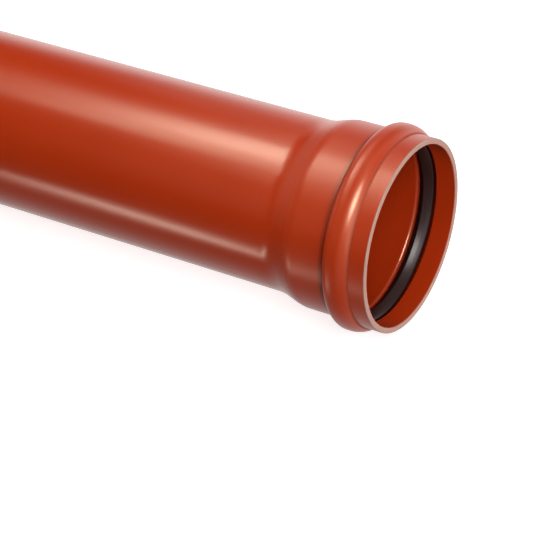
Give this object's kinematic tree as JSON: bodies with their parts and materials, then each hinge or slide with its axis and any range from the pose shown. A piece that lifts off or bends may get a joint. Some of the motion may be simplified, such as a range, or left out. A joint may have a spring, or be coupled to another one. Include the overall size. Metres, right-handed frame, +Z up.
{
  "type": "pvc drain pipe",
  "caption": "Length of hard orange-brown PVC drain pipe with a formed push-fit socket at one end, a chamfered spigot at the other and a black rubber lip seal in the socket's groove.",
  "frame": {"origin": "on the pipe's axis, in the plane of the spigot end", "axes": "+X along the pipe's axis, out of the socket mouth; +Z up, with the pipe lying level"},
  "size_m": [1.0614, 0.1304, 0.1303],
  "materials": {
    "orange_brown_pvc": "smooth extruded, satin gloss, pale matte sawn ends",
    "black_rubber": "moulded, satin, lightly lubricated"
  },
  "bodies": {
    "root": {"pipe": "orange_brown_pvc", "seal_ring": "black_rubber"}
  },
  "joints": []
}
